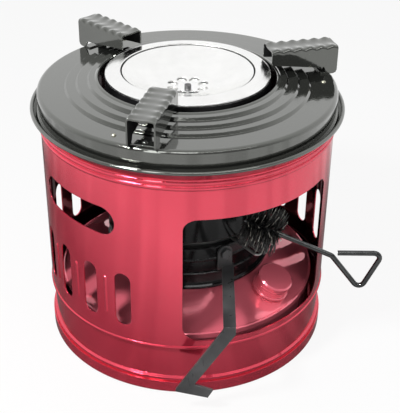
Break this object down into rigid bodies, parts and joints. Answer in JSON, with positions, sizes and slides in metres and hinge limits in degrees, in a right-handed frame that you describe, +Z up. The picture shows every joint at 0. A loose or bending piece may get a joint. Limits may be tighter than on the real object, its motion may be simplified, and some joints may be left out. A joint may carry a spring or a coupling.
{
  "type": "kerosene stove",
  "caption": "Round multi-wick kerosene stove: slotted red casing over a fuel tank, black stepped top with wavy pot supports, wick lever and lighting brush.",
  "frame": {"origin": "middle of the base pan's underside, on the burner's axis", "axes": "+Z up along the burner, -Y to the front, +X to the right seen from the front"},
  "size_m": [0.2809, 0.2678, 0.2438],
  "materials": {
    "red_paint": "gloss stove paint, raspberry red",
    "tank_paint": "gloss stove paint, raspberry red, a little darker",
    "black_enamel": "gloss black enamel",
    "dark_steel": "dull dark paint, worn at the edges",
    "burner_black": "satin black heat paint",
    "bright_chrome": "bright plated",
    "plain_steel": "bare sheet steel",
    "fastener_zinc": "zinc plated",
    "wire_steel": "dark drawn wire",
    "wick_cotton": "braided cotton",
    "gasket_rubber": "black rubber",
    "bristle_fibre": "stiff dark bristles"
  },
  "bodies": {
    "stove": {"base_pan": "red_paint", "casing": "red_paint", "tank_shell": "tank_paint", "tank_lid": "tank_paint", "filler_neck": "tank_paint", "lower_wick_tubes": "plain_steel", "base_collar": "burner_black", "guide_sleeve": "plain_steel", "wick_plate": "plain_steel", "upper_wick_tubes": "plain_steel", "brush_rest": "plain_steel", "gutter_ring": "black_enamel"},
    "lever": {"turning_collar": "burner_black", "wick_lever": "dark_steel", "lever_bolt": "dark_steel", "lever_nut": "fastener_zinc"},
    "wick_carriage": {"wick_carrier": "plain_steel", "carrier_pins": "plain_steel", "wicks": "wick_cotton"},
    "burner": {"outer_drum": "burner_black", "outer_flame_tube": "plain_steel", "inner_flame_tube": "plain_steel", "cross_pins": "plain_steel", "chrome_ring": "bright_chrome", "spreader_dish": "bright_chrome", "deflector_plate": "bright_chrome", "dish_screw": "dark_steel", "dish_nut": "fastener_zinc"},
    "top": {"top_plate": "black_enamel", "pot_support_1": "black_enamel", "pot_support_2": "black_enamel", "pot_support_3": "black_enamel", "support_rivets": "black_enamel", "plate_rivets": "fastener_zinc", "plate_clips": "black_enamel"},
    "cap_seal": {"cap_gasket": "gasket_rubber"},
    "cap": {"filler_cap": "tank_paint"},
    "brush": {"brush_wire": "wire_steel", "brush_bristles": "bristle_fibre"}
  },
  "joints": [
    {"name": "lever_turn", "type": "hinge", "parent": "stove", "child": "lever", "pos_m": [0, 0, 0.092], "axis": [0, 0, 1], "range_deg": [-12, 12]},
    {"name": "wick_lift", "type": "slide", "parent": "stove", "child": "wick_carriage", "axis": [0, 0, 1], "range_m": [-0.005, 0.005]},
    {"name": "burner_lift", "type": "slide", "parent": "stove", "child": "burner", "axis": [0, 0, 1], "range_m": [0, 0.06]},
    {"name": "top_lift", "type": "slide", "parent": "stove", "child": "top", "axis": [0, 0, 1], "range_m": [0, 0.04]},
    {"name": "cap_rise", "type": "slide", "parent": "stove", "child": "cap_seal", "axis": [0.2989, -0.242, 0.9231], "range_m": [0, 0.0075]},
    {"name": "cap_turn", "type": "hinge", "parent": "cap_seal", "child": "cap", "pos_m": [0.06956, -0.05632, 0.0595], "axis": [0.2989, -0.242, 0.9231], "range_deg": [0, 900]},
    {"name": "brush_pull", "type": "slide", "parent": "stove", "child": "brush", "axis": [0.6293, -0.7771, 0], "range_m": [0, 0.06]}
  ],
  "couplings": [
    {"joint": "wick_lift", "follows": "lever_turn", "m_per_rad": 0.023873},
    {"joint": "cap_rise", "follows": "cap_turn", "m_per_rad": 0.00047746}
  ]
}
